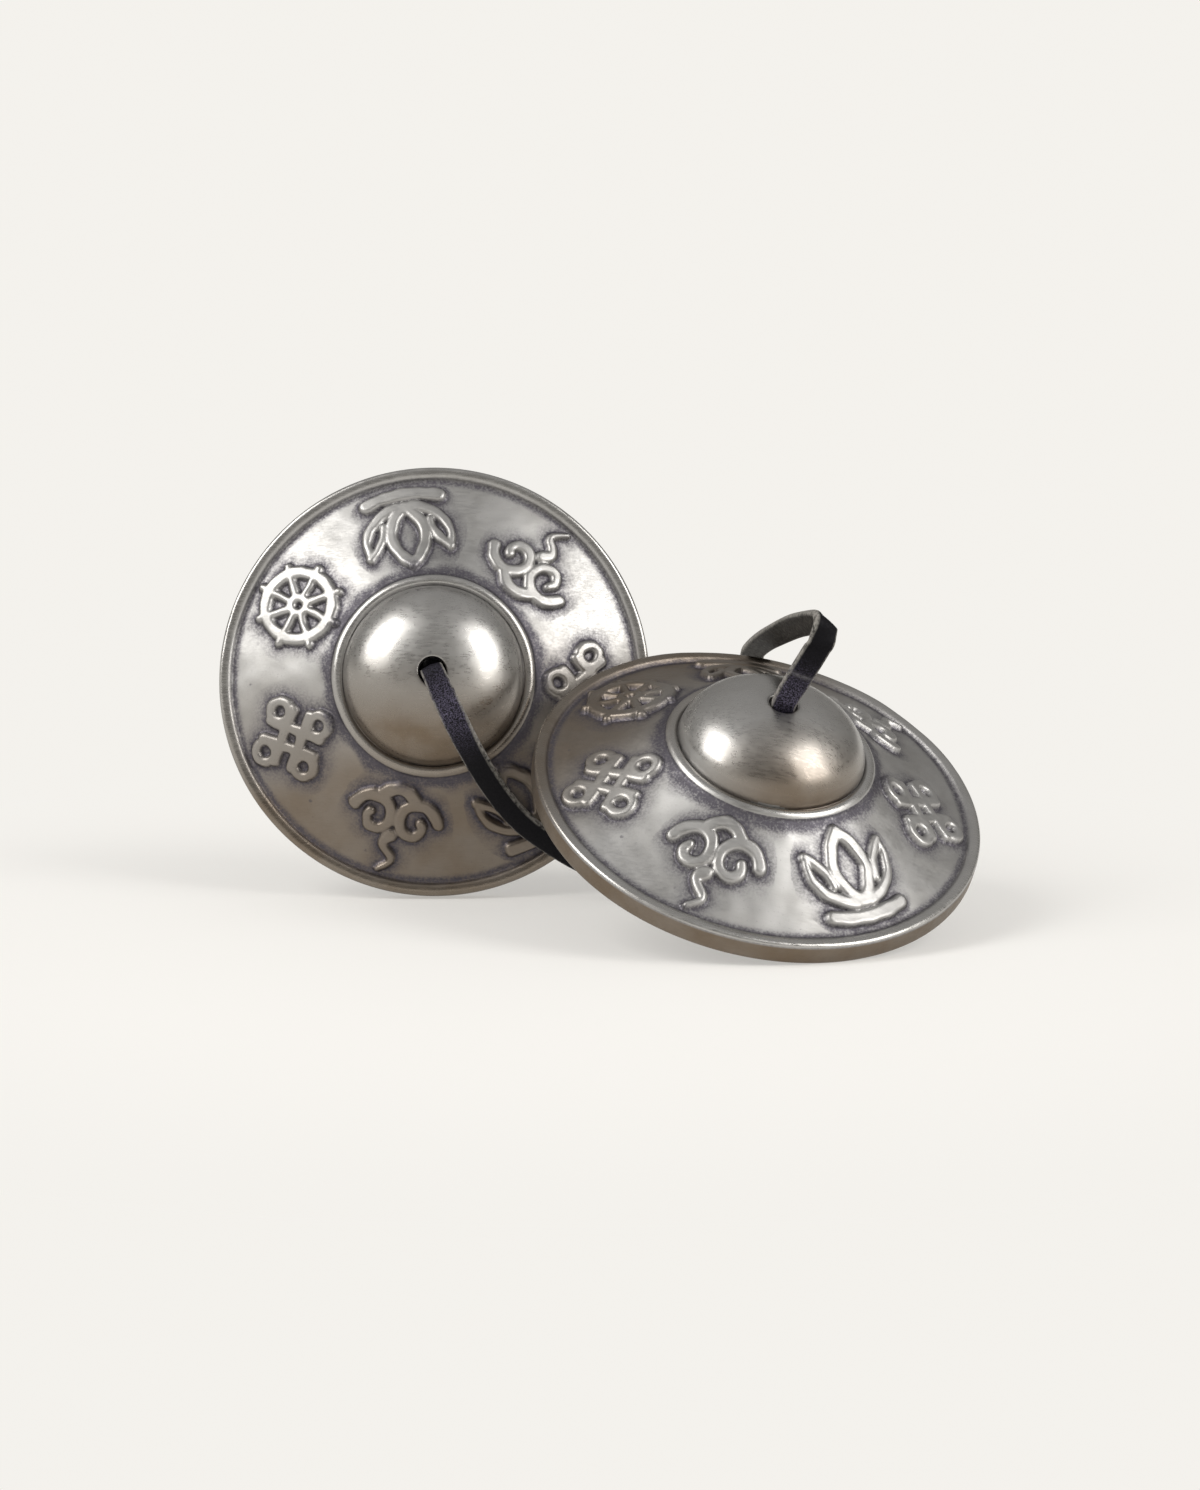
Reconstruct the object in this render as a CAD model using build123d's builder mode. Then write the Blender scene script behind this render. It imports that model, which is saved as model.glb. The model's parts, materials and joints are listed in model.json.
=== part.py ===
# A pair of tingsha: two small cast bronze cymbals, knotted to the two ends of one leather strap.
# They rest as they are set down: the left cymbal stands on its rim and leans back a little, the
# right one leans over further, and the strap's slack lies on the table behind the right one.
from build123d import *
from math import atan2, cos, hypot, radians, sin, sqrt, tan
import os

# Casting, one shape for both cymbals. Heights are measured from the plane of the raised lip.
RIM_DIAMETER = 65.0
RIM_THICKNESS = 3.5
RIM_ROUND = 0.6
LIP_WIDTH = 1.5
LIP_HEIGHT = 0.6
LAND_WIDTH = 3.6
LAND_STEP = 0.9
FACE_RISE = 7.2
FACE_SAG = 0.5
WALL = 2.5
RING_DIAMETER = 30.4
RING_WIDTH = 1.5
RING_HEIGHT = 0.9
GROOVE_HEIGHT = 7.7
GROOVE_WIDTH = 0.3
DOME_RISE = 8.2
HOLE_ROUND = 0.5

# Ornament: seven raised motifs round each face, drawn with broad strokes
MOTIF_CIRCLE = 45.8
FIRST_MOTIF_ANGLE = 100.0
RELIEF_HEIGHT = 0.9
RELIEF_ROOT = 0.6
STROKE_WIDTH = 1.8
PETAL_LENGTH = 11.3
PETAL_WIDTH = 7.0
PETAL_DROP = 4.4
SIDE_PETAL_REACH = 5.7
SIDE_PETAL_RISE = 4.0
SIDE_PETAL_BULGE = 2.3
SEAT_WIDTH = 11.2
SEAT_DROP = 5.5
CURL_DIAMETER = 7.1
CURL_EYE = 2.2
CURL_SPREAD = 3.2
CURL_RISE = 1.2
CROWN_WIDTH = 5.4
CROWN_RISE = 5.6
TAIL_WAVE = 2.0
TAIL_DROP = 7.0
LATTICE_BAR = 8.1
LATTICE_BAR_WIDTH = 1.6
LATTICE_PITCH = 2.8
LOOP_DIAMETER = 4.5
LOOP_EYE = 1.6
LOOP_REACH = 4.5
WHEEL_DIAMETER = 12.1
WHEEL_HUB = 3.9
SPOKE_WIDTH = 1.2
SPOKE_COUNT = 8

# Leather strap and its knots
STRAP_WIDTH = 3.2
STRAP_THICKNESS = 1.5
KNOT_WIDTH = 9.2
KNOT_HEIGHT = 6.4
TAIL_LENGTH = 9.0
TAIL_TILT = 32.0
HOLE_CLEARANCE = 0.28
KNOT_CLEARANCE = 0.3
DOME_CLEARANCE = 0.35

# Rest pose: how far each cymbal's axis points up, how far it is turned to the right, and its spin
LEFT_AXIS_RISE = 11.8
LEFT_TURN = 1.9
LEFT_SPIN = 0.0
RIGHT_AXIS_RISE = 58.1
RIGHT_TURN = 20.4
RIGHT_SPIN = -23.0
RIM_OVERLAP = 17.4
RAISED_RIM_AHEAD = 1.7

# The strap's route from the left hole, down over the dome, along the table behind the right cymbal,
# up, and forward to a tight fold above the right hole. It folds flat about its own width, and its
# half turn of twist lies in the run that rises behind the right cymbal.
STRAP_ROUTE = [
    Vector(-22.4, 6.0, 34.9),
    Vector(-20.9, 5.7, 31.4),
    Vector(-18.1, 7.5, 25.1),
    Vector(-14.7, 10.3, 18.5),
    Vector(-10.5, 12.2, 12.8),
    Vector(-5.8, 13.2, 9.2),
    Vector(-0.5, 13.6, 6.0),
    Vector(6.5, 15.5, 2.9),
    Vector(15.0, 20.0, 1.8),
    Vector(23.0, 27.5, 1.8),
    Vector(28.5, 36.5, 3.4),
    Vector(30.5, 43.5, 9.5),
    Vector(27.6, 45.5, 27.0),
    Vector(24.6, 38.5, 34.3),
    Vector(26.0, 25.5, 37.9),
    Vector(28.2, 11.0, 41.0),
    Vector(30.3, -4.0, 44.4),
    Vector(32.0, -13.6, 46.6),
    Vector(33.0, -18.6, 46.9),
    Vector(32.0, -18.6, 42.5),
    Vector(29.8, -16.2, 38.7),
    Vector(27.85, -13.8, 35.3),
]
TWIST_RUN = 11
FOLD_RUN = 18
BEND_SHARE = 0.45
TWIST_MARGIN = 0.3

rim_radius = RIM_DIAMETER / 2
ring_radius = RING_DIAMETER / 2
groove_radius = ring_radius - RING_WIDTH
dome_radius = groove_radius - GROOVE_WIDTH
dome_top = GROOVE_HEIGHT + DOME_RISE
lip_foot = Vector(rim_radius - LIP_WIDTH - LIP_HEIGHT, -LIP_HEIGHT)
ring_foot = Vector(ring_radius, FACE_RISE)
face_slope = atan2(ring_foot.Y - lip_foot.Y, lip_foot.X - ring_foot.X)
hollow_radius = dome_radius - WALL
hollow_base = FACE_RISE - WALL / cos(face_slope) + (ring_radius - hollow_radius) * tan(face_slope)
hollow_rise = dome_top - WALL - hollow_base
land_edge = Vector(rim_radius - LAND_WIDTH, -RIM_THICKNESS)
hole_radius = hypot(STRAP_WIDTH, STRAP_THICKNESS) / 2 + HOLE_CLEARANCE

# The knot bears on the inner edge of the hole, and the strap bends just above the dome.
knot_radius = KNOT_WIDTH / 2
seat_radius = hole_radius + HOLE_ROUND
seat_height = hollow_base + hollow_rise * sqrt(1 - (seat_radius / hollow_radius) ** 2)
knot_shoulder = KNOT_HEIGHT / 2 * sqrt(1 - (seat_radius / knot_radius) ** 2)
knot_centre = seat_height - KNOT_CLEARANCE - knot_shoulder
bend_height = dome_top + DOME_CLEARANCE + STRAP_THICKNESS / 2


def sagged(outer, inner):
    """The middle of an arc that hangs FACE_SAG below the straight line between two points."""
    return (outer + inner) * 0.5 - Vector(0, FACE_SAG)


# Motifs, each with its head towards +Y
with BuildSketch() as lotus:
    with BuildLine():
        petal_foot, petal_tip = Vector(0, -PETAL_DROP), Vector(0, PETAL_LENGTH - PETAL_DROP)
        petal_side = Vector(PETAL_WIDTH / 2, PETAL_LENGTH / 2 - PETAL_DROP)
        petal_edge = ThreePointArc(petal_foot, petal_side, petal_tip)
        mirror(petal_edge, about=Plane.YZ)
    make_face()
    offset(amount=-STROKE_WIDTH, mode=Mode.SUBTRACT)
    with BuildLine():
        side_petal_foot = Vector(STROKE_WIDTH / 2, -PETAL_DROP + STROKE_WIDTH / 2)
        side_petal_tip = Vector(SIDE_PETAL_REACH, SIDE_PETAL_RISE)
        SagittaArc(side_petal_foot, side_petal_tip, -SIDE_PETAL_BULGE)
        Line(side_petal_tip, petal_side - Vector(0, STROKE_WIDTH))
    trace(line_width=STROKE_WIDTH)
    mirror(about=Plane.YZ)
    with BuildLine():
        seat_end = Vector(SEAT_WIDTH / 2, STROKE_WIDTH / 2 - SEAT_DROP)
        ThreePointArc(seat_end, (0, -SEAT_DROP), seat_end - Vector(SEAT_WIDTH, 0))
    trace(line_width=STROKE_WIDTH)

with BuildSketch() as cloud:
    with BuildLine():
        crown_end = Vector(CROWN_WIDTH / 2, CROWN_RISE - STROKE_WIDTH)
        ThreePointArc(crown_end, (0, CROWN_RISE), crown_end - Vector(CROWN_WIDTH, 0))
        tail_bend = ThreePointArc((0, 0), (TAIL_WAVE / 2, -TAIL_WAVE), (0, -2 * TAIL_WAVE))
        RadiusArc(tail_bend @ 1, (TAIL_WAVE / 2, -TAIL_DROP), TAIL_WAVE)
    trace(line_width=STROKE_WIDTH)
    with Locations((CURL_SPREAD, CURL_RISE), (-CURL_SPREAD, CURL_RISE)):
        Circle(CURL_DIAMETER / 2)
    with Locations((CURL_SPREAD, CURL_RISE), (-CURL_SPREAD, CURL_RISE)):
        Circle(CURL_EYE / 2, mode=Mode.SUBTRACT)

with BuildSketch() as lattice:
    for turn in (45, 135):
        with Locations(Location((0, 0, 0), (0, 0, turn))):
            with GridLocations(0, LATTICE_PITCH, 1, 2):
                Rectangle(LATTICE_BAR, LATTICE_BAR_WIDTH)
    with PolarLocations(LOOP_REACH, 4):
        Circle(LOOP_DIAMETER / 2)
    with PolarLocations(LOOP_REACH, 4):
        Circle(LOOP_EYE / 2, mode=Mode.SUBTRACT)

with BuildSketch() as wheel:
    Circle(WHEEL_DIAMETER / 2)
    Circle(WHEEL_DIAMETER / 2 - STROKE_WIDTH, mode=Mode.SUBTRACT)
    Circle(WHEEL_HUB / 2)
    with PolarLocations(WHEEL_DIAMETER / 4, SPOKE_COUNT):
        Rectangle((WHEEL_DIAMETER - STROKE_WIDTH) / 2, SPOKE_WIDTH)

motifs = [lotus, cloud, lattice, lotus, cloud, lattice, wheel]

# The ornament stands RELIEF_HEIGHT proud of the face all over, so its top follows the face.
with BuildPart() as relief:
    with BuildSketch(Plane.XY.offset(-RIM_THICKNESS)):
        for index, motif in enumerate(motifs):
            station_angle = FIRST_MOTIF_ANGLE - index * 360 / len(motifs)
            with PolarLocations(MOTIF_CIRCLE / 2, 1, start_angle=station_angle):
                add(motif.sketch, rotation=90)
    extrude(amount=RIM_THICKNESS + dome_top)
    with BuildSketch(Plane.XZ):
        with BuildLine():
            top_outer = lip_foot + Vector(0, RELIEF_HEIGHT)
            top_inner = ring_foot + Vector(0, RELIEF_HEIGHT)
            root_outer = lip_foot - Vector(0, RELIEF_ROOT)
            root_inner = ring_foot - Vector(0, RELIEF_ROOT)
            ThreePointArc(top_outer, sagged(top_outer, top_inner), top_inner)
            Line(top_inner, root_inner)
            ThreePointArc(root_inner, sagged(root_outer, root_inner), root_outer)
            Line(root_outer, top_outer)
        make_face()
    revolve(axis=Axis.Z, mode=Mode.INTERSECT)

with BuildPart() as casting:
    with BuildSketch(Plane.XZ) as section:
        with BuildLine():
            EllipticalCenterArc((0, GROOVE_HEIGHT), dome_radius, DOME_RISE, arc_size=90)
            EllipticalCenterArc((0, hollow_base), hollow_radius, hollow_rise, arc_size=90)
            hollow_foot = Vector(hollow_radius, hollow_base)
            land_top = land_edge + Vector(0, LAND_STEP)
            groove_edge = Vector(groove_radius, GROOVE_HEIGHT)
            ring_crest = Vector(ring_radius - RING_WIDTH / 2, FACE_RISE + RING_HEIGHT)
            Line((0, dome_top), (0, hollow_base + hollow_rise))
            ThreePointArc(hollow_foot, sagged(land_top, hollow_foot), land_top)
            Polyline(
                land_top,
                land_edge,
                (rim_radius, -RIM_THICKNESS),
                (rim_radius, 0),
                (rim_radius - LIP_WIDTH, 0),
                lip_foot,
            )
            ThreePointArc(lip_foot, sagged(lip_foot, ring_foot), ring_foot)
            ThreePointArc(ring_foot, ring_crest, groove_edge)
            Line(groove_edge, (dome_radius, GROOVE_HEIGHT))
        make_face()
        with Locations((0, dome_top)):
            Rectangle(2 * hole_radius, 2 * dome_top, mode=Mode.SUBTRACT)
        fillet(section.vertices().group_by(Axis.X)[0], HOLE_ROUND)
        fillet(section.vertices().group_by(Axis.X)[-1], RIM_ROUND)
    revolve(axis=Axis.Z)
    add(relief.part)


# Rest poses
def cymbal_axis(rise, turn):
    rise, turn = radians(rise), radians(turn)
    return Vector(cos(rise) * sin(turn), -cos(rise) * cos(turn), sin(rise))


def rim_reach(axis, direction):
    """How far the rounded rim reaches from the lip's centre along a direction."""
    tilt = axis.dot(direction)
    lean = max(-RIM_ROUND * tilt, (RIM_ROUND - RIM_THICKNESS) * tilt)
    return lean + (rim_radius - RIM_ROUND) * sqrt(1 - tilt**2) + RIM_ROUND


def cymbal_pose(place_x, place_y, axis, turn, spin):
    """The lip's plane of a cymbal that stands on the table at a place."""
    level = Vector(cos(radians(turn)), sin(radians(turn)), 0)
    height = rim_reach(axis, Vector(0, 0, -1))
    return Plane((place_x, place_y, height), x_dir=level.rotate(Axis((0, 0, 0), axis), spin), z_dir=axis)


left_axis = cymbal_axis(LEFT_AXIS_RISE, LEFT_TURN)
right_axis = cymbal_axis(RIGHT_AXIS_RISE, RIGHT_TURN)
right_ahead_x = RIM_DIAMETER - RIM_OVERLAP
right_ahead_y = rim_radius * sin(radians(RIGHT_AXIS_RISE)) * cos(radians(RIGHT_TURN)) + RAISED_RIM_AHEAD
east, north = Vector(1, 0, 0), Vector(0, 1, 0)
middle_x = (right_ahead_x + rim_reach(right_axis, east) - rim_reach(left_axis, -east)) / 2
middle_y = (rim_reach(left_axis, north) - right_ahead_y - rim_reach(right_axis, -north)) / 2
left_pose = cymbal_pose(-middle_x, -middle_y, left_axis, LEFT_TURN, LEFT_SPIN)
right_pose = cymbal_pose(
    right_ahead_x - middle_x, -right_ahead_y - middle_y, right_axis, RIGHT_TURN, RIGHT_SPIN
)

with BuildPart() as left_cymbal:
    with Locations(left_pose):
        add(casting.part)

with BuildPart() as right_cymbal:
    with Locations(right_pose):
        add(casting.part)


# Strap
def carried(width, before, after):
    """The strap's width direction after the bend between two runs, with no twist."""
    bend = before.cross(after)
    return width.rotate(Axis((0, 0, 0), bend), before.get_angle(after))


def squared(direction, along):
    """The part of a direction that is square to another, at unit length."""
    along = along.normalized()
    return (direction - along * direction.dot(along)).normalized()


runs = [after - before for before, after in zip(STRAP_ROUTE, STRAP_ROUTE[1:])]
turns = [before.get_angle(after) for before, after in zip(runs, runs[1:])]
bend_radii = [
    BEND_SHARE * min(before.length, after.length) / tan(radians(turn) / 2)
    for before, after, turn in zip(runs, runs[1:], turns)
]

left_width = squared(left_axis.cross(runs[0]), runs[0])
width_below_twist = left_width
for before, after in zip(runs[:TWIST_RUN], runs[1 : TWIST_RUN + 1]):
    width_below_twist = carried(width_below_twist, before, after)

fold_width = runs[FOLD_RUN - 1].cross(runs[FOLD_RUN]).normalized()
right_width = fold_width
for before, after in zip(runs[FOLD_RUN:], runs[FOLD_RUN + 1 :]):
    right_width = carried(right_width, before, after)
width_above_twist = fold_width
for after, before in zip(runs[FOLD_RUN - 1 : TWIST_RUN : -1], runs[FOLD_RUN - 2 : TWIST_RUN - 1 : -1]):
    width_above_twist = carried(width_above_twist, after, before)

if width_below_twist.dot(width_above_twist) < 0:
    width_above_twist = -width_above_twist

twist_way = runs[TWIST_RUN].normalized()
bend_below = BEND_SHARE * runs[TWIST_RUN - 1].length + TWIST_MARGIN
bend_above = BEND_SHARE * runs[TWIST_RUN + 1].length + TWIST_MARGIN
twist_start = STRAP_ROUTE[TWIST_RUN] + twist_way * bend_below
twist_end = STRAP_ROUTE[TWIST_RUN + 1] - twist_way * bend_above
twist_middle = (twist_start + twist_end) * 0.5
twist_stations = [
    Plane(twist_start, x_dir=width_below_twist, z_dir=twist_way),
    Plane(twist_middle, x_dir=width_below_twist + width_above_twist, z_dir=twist_way),
    Plane(twist_end, x_dir=width_above_twist, z_dir=twist_way),
]

with BuildPart() as strap:
    with BuildLine() as lower_path:
        FilletPolyline(*STRAP_ROUTE[: TWIST_RUN + 1], twist_start, radius=bend_radii[:TWIST_RUN])
    with BuildSketch(Plane(STRAP_ROUTE[0], x_dir=left_width, z_dir=runs[0])):
        Rectangle(STRAP_WIDTH, STRAP_THICKNESS)
    sweep()
    with BuildLine() as upper_path:
        FilletPolyline(twist_end, *STRAP_ROUTE[TWIST_RUN + 1 :], radius=bend_radii[TWIST_RUN:])
    with BuildSketch(twist_stations[-1]):
        Rectangle(STRAP_WIDTH, STRAP_THICKNESS)
    sweep()
    for station in twist_stations:
        with BuildSketch(station):
            Rectangle(STRAP_WIDTH, STRAP_THICKNESS)
    loft()


# Knots
def tied_knot(pose, bend_width):
    """The strap's knotted end inside a dome, with its shank through the hole up to the bend."""
    shank = Plane(pose.origin, x_dir=squared(bend_width, pose.z_dir), z_dir=pose.z_dir)
    lengthwise = Plane(shank.origin, x_dir=shank.x_dir, z_dir=shank.x_dir.cross(shank.z_dir))
    bend = Plane(shank.offset(bend_height).origin, x_dir=shank.z_dir, z_dir=shank.x_dir)
    tail_way = shank.y_dir * sin(radians(TAIL_TILT)) - shank.z_dir * cos(radians(TAIL_TILT))
    with BuildPart() as knot:
        with BuildSketch(lengthwise):
            with BuildLine():
                half_round = EllipticalCenterArc(
                    (0, knot_centre), knot_radius, KNOT_HEIGHT / 2, start_angle=-90, arc_size=180
                )
                Line(half_round @ 1, half_round @ 0)
            make_face()
        revolve(axis=Axis(shank.origin, shank.z_dir))
        with BuildSketch(shank.offset(knot_centre)):
            Rectangle(STRAP_WIDTH, STRAP_THICKNESS)
        extrude(amount=bend_height - knot_centre)
        with BuildSketch(Plane(shank.offset(knot_centre).origin, x_dir=shank.x_dir, z_dir=tail_way)):
            Rectangle(STRAP_WIDTH, STRAP_THICKNESS)
        extrude(amount=KNOT_HEIGHT / 2 + TAIL_LENGTH)
        with Locations(bend):
            Cylinder(STRAP_THICKNESS / 2, STRAP_WIDTH)
    return knot


left_knot = tied_knot(left_pose, left_width)
right_knot = tied_knot(right_pose, right_width)

# The strap's length and bends, and whether its solid has the volume of its section times its length
twist_length = (twist_end - twist_start).length
strap_length = lower_path.wire().length + twist_length + upper_path.wire().length
section_volume = STRAP_WIDTH * STRAP_THICKNESS * strap_length
print(f"strap length {strap_length:.1f} mm, bend radii {[round(radius, 1) for radius in bend_radii]}")
print(f"strap volume {strap.part.volume:.1f} mm3, section times length {section_volume:.1f} mm3")
for side, pose, width in (("left", left_pose, left_width), ("right", right_pose, right_width)):
    hinge = pose.offset(bend_height).origin
    print(f"{side} lip centre {pose.origin}, axis {pose.z_dir}")
    print(f"{side} bend at {hinge}, about {squared(width, pose.z_dir)}")

os.makedirs("parts", exist_ok=True)
pieces = {
    "left_cymbal": left_cymbal,
    "right_cymbal": right_cymbal,
    "strap": strap,
    "left_knot": left_knot,
    "right_knot": right_knot,
}
for name, piece in pieces.items():
    piece.part.label = name
    export_step(piece.part, f"parts/{name}.step")
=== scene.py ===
# %% [markdown]
# # A pair of tingsha
#
# Two small cast bronze cymbals hang on the two ends of one leather strap, and ring when one rim strikes
# the other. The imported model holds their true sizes, places and joints. This lesson loads it as a fixed
# frame and gives every surface its finish: a cast, hand polished bronze with dark patina in its hollows,
# and a thin black strap with a smooth side and a rough side.

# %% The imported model
import json
from math import radians

import bpy
import numpy as np
from mathutils import Matrix, Quaternion, Vector


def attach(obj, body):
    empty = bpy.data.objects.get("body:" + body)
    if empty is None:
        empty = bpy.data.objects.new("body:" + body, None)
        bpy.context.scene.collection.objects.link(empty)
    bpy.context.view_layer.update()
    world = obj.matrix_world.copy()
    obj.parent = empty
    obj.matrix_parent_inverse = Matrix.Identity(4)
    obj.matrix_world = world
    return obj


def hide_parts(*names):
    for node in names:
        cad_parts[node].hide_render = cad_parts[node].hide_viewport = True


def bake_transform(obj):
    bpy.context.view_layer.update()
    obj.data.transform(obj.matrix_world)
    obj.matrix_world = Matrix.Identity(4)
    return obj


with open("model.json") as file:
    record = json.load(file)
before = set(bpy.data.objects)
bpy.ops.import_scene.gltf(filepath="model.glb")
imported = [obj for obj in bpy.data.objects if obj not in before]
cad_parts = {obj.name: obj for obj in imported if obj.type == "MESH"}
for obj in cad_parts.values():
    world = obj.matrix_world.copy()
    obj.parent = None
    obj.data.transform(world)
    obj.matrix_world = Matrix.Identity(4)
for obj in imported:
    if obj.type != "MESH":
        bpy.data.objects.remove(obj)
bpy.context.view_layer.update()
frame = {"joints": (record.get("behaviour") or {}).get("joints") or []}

MM = 0.001
joints = {joint["name"]: joint for joint in frame["joints"]}

# %% [markdown]
# ## Camera
#
# The pair was photographed from about half a metre away, a little above the domes. The lens follows from
# the picture: a focal length of 3000 pixels on a picture 1490 pixels high, on a 36 mm sensor.

# %% Camera
CAMERA_PLACE = (1.5 * MM, -427.0 * MM, 85.05 * MM)
CAMERA_DROP = radians(7.91)
FOCAL_PIXELS = 3000
PICTURE_HEIGHT = 1490
SENSOR_HEIGHT = 36.0
CLIP_START = 10 * MM

camera_data = bpy.data.cameras.new("camera")
camera_data.sensor_width = SENSOR_HEIGHT
camera_data.lens = SENSOR_HEIGHT * FOCAL_PIXELS / PICTURE_HEIGHT
camera_data.clip_start = CLIP_START
camera = bpy.data.objects.new("camera", camera_data)
camera.location = CAMERA_PLACE
camera.rotation_euler = (radians(90) - CAMERA_DROP, 0, 0)
bpy.context.scene.collection.objects.link(camera)
bpy.context.scene.camera = camera
print("camera lens", round(camera_data.lens, 2), "mm")

# %% [markdown]
# ## The strap's line
#
# The strap leaves the left hole, lies down over the left dome, runs along the table behind the right
# cymbal, rises, and comes forward to a sharp fold above the right hole. A smooth curve with the route's
# points as its control points gives its centre line, and two more points close beside the fold keep the
# curve from rounding it off. At each end the line goes on down the hole to the knot, along the axis of
# the cymbal, so that the strap has no seam where it enters the dome.

# %% The strap's route
STRAP_WIDTH = 3.2
STRAP_THICKNESS = 1.5
STRAP_ROUTE = [
    (-20.9, 5.7, 31.4),
    (-18.1, 7.5, 25.1),
    (-14.7, 10.3, 18.5),
    (-10.5, 12.2, 12.8),
    (-5.8, 13.2, 9.2),
    (-0.5, 13.6, 6.0),
    (6.5, 15.5, 2.9),
    (15.0, 20.0, 1.8),
    (23.0, 27.5, 1.8),
    (28.5, 36.5, 3.4),
    (30.5, 43.5, 9.5),
    (27.6, 45.5, 27.0),
    (24.6, 38.5, 34.3),
    (26.0, 25.5, 37.9),
    (28.2, 11.0, 41.0),
    (30.3, -4.0, 44.4),
    (32.0, -13.6, 46.6),
    (33.0, -18.6, 46.9),
    (32.0, -18.6, 42.5),
    (29.8, -16.2, 38.7),
]
FOLD_PLACE = 17
CREASE_SHARE = 0.3
SHANK_DEPTHS = (0.4, 2.4, 6.0)


def shank_points(side):
    """Points of the strap's line from its bend down the hole of one cymbal."""
    bend = Vector(joints[f"{side}_swing"]["pos_m"])
    axis = Vector(joints[f"{side}_spin"]["axis"]).normalized()
    return [bend - axis * depth * MM for depth in SHANK_DEPTHS]


print("route of", len(STRAP_ROUTE), "places between the holes")

# %% The strap's line
LINE_STEPS = 14


def smooth_line(places, steps):
    """Points read from a smooth curve that has the given places as its control points."""
    curve = bpy.data.curves.new("strap_line", "CURVE")
    curve.dimensions = "3D"
    curve.resolution_u = steps
    spline = curve.splines.new("NURBS")
    spline.points.add(len(places) - 1)
    for point, place in zip(spline.points, places):
        point.co = (*place, 1)
    spline.order_u = 3
    spline.use_endpoint_u = True
    holder = bpy.data.objects.new("strap_line", curve)
    mesh = bpy.data.meshes.new_from_object(holder)
    line = np.array([vertex.co for vertex in mesh.vertices], float)
    bpy.data.objects.remove(holder)
    bpy.data.meshes.remove(mesh)
    return line


def creased(places, corner):
    """The places with two more beside a corner, so that the curve folds there and does not round it."""
    before, fold, after = places[corner - 1 : corner + 2]
    fold_places = [fold.lerp(before, CREASE_SHARE), fold, fold.lerp(after, CREASE_SHARE)]
    return places[:corner] + fold_places + places[corner + 1 :]


route = creased([Vector(place) * MM for place in STRAP_ROUTE], FOLD_PLACE)
strap_line = smooth_line(shank_points("left")[::-1] + route + shank_points("right"), LINE_STEPS)
line_gaps = np.linalg.norm(np.diff(strap_line, axis=0), axis=1)
strap_travel = np.concatenate([[0], np.cumsum(line_gaps)]) / MM
to_right_end = strap_travel[-1] - strap_travel
print("strap line", len(strap_line), "points,", round(strap_travel[-1], 1), "mm from knot to knot")

# %% [markdown]
# ## The strap's width
#
# The strap is cut flat from a hide, so it bends about its width and hardly sideways. A curve with a flat
# section could be twisted by hand, point by point. Here the width is carried along the line from each
# hole instead, with no twist of its own, and the turn that is left between the two is spread over the
# stretch behind the right cymbal, where the leather really takes it up.

# %% Carry the width along the line
TWIST_FROM, TWIST_TO = 62.0, 128.0
LEFT_LEG_AT, RIGHT_LEG_AT = 20.0, 13.0
TOWARD_VIEWER = np.array([0.0, -1.0, 0.0])


def unit(vectors):
    return vectors / np.linalg.norm(vectors, axis=-1, keepdims=True)


def turned(vector, axis, angle):
    """A vector turned about a unit axis."""
    across = np.cross(axis, vector)
    along = axis * np.dot(axis, vector)
    return vector * np.cos(angle) + across * np.sin(angle) + along * (1 - np.cos(angle))


def carried_widths(tangents, first):
    """The width direction carried along the line with no twist, from its first point on."""
    widths = [unit(first - tangents[0] * np.dot(first, tangents[0]))]
    for tangent in tangents[1:]:
        widths.append(unit(widths[-1] - tangent * np.dot(widths[-1], tangent)))
    return np.array(widths)


def facing_viewer(widths, travel):
    """The widths, turned end for end if the smooth side would face away from the viewer at one place."""
    place = np.searchsorted(strap_travel, travel)
    return widths * np.sign(np.dot(np.cross(widths[place], tangents[place]), TOWARD_VIEWER))


tangents = unit(np.gradient(strap_line, axis=0))
from_left = carried_widths(tangents, np.array(joints["left_swing"]["axis"]))
from_left = facing_viewer(from_left, LEFT_LEG_AT)
from_right = carried_widths(tangents[::-1], np.array(joints["right_swing"]["axis"]))[::-1]
from_right = facing_viewer(from_right, strap_travel[-1] - RIGHT_LEG_AT)
middle = len(strap_line) // 2
twist = np.arctan2(
    np.dot(np.cross(from_left[middle], from_right[middle]), tangents[middle]),
    np.dot(from_left[middle], from_right[middle]),
)
twist_share = np.clip((strap_travel - TWIST_FROM) / (TWIST_TO - TWIST_FROM), 0, 1)
twist_share = twist_share * twist_share * (3 - 2 * twist_share)
print("twist behind the right cymbal", round(float(np.degrees(twist)), 1), "degrees")

# %% [markdown]
# ## How the strap lies
#
# Leather that has hung for years keeps its bends. The left leg leans over, rolled about its left edge,
# and the back leg has rolled over at the fold. The fold has sunk a little, and the front leg runs
# straight from there down to the hole. Each is a small change to the plain ribbon that fades in and out
# along its length, so that the strap stays one smooth band.

# %% Roll and settle the ribbon
FOLD_ROLL_AT = (0.0, 18.8, 23.0, 45.0, 75.0)
FOLD_ROLL = (0.0, 0.0, -45.0, -45.0, 0.0)
LEG_ROLL_AT = (0.0, 9.0, 18.0, 45.0, 62.0)
LEG_ROLL = (0.0, 0.0, 24.0, 24.0, 0.0)
FOLD_AT = 20.0
FRONT_REACH, BACK_REACH = 8.0, 18.0
FOLD_SETTLE = np.array([-0.6, 0.0, -1.9])
STRAIGHT_FROM, STRAIGHT_TO = 6.0, 19.0
PULL, MOST_PULL = 7, 0.9


def hump(value, centre, reach):
    """A soft hump about a value, 1 at its centre."""
    return np.exp(-(((value - centre) / reach) ** 2))


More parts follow.
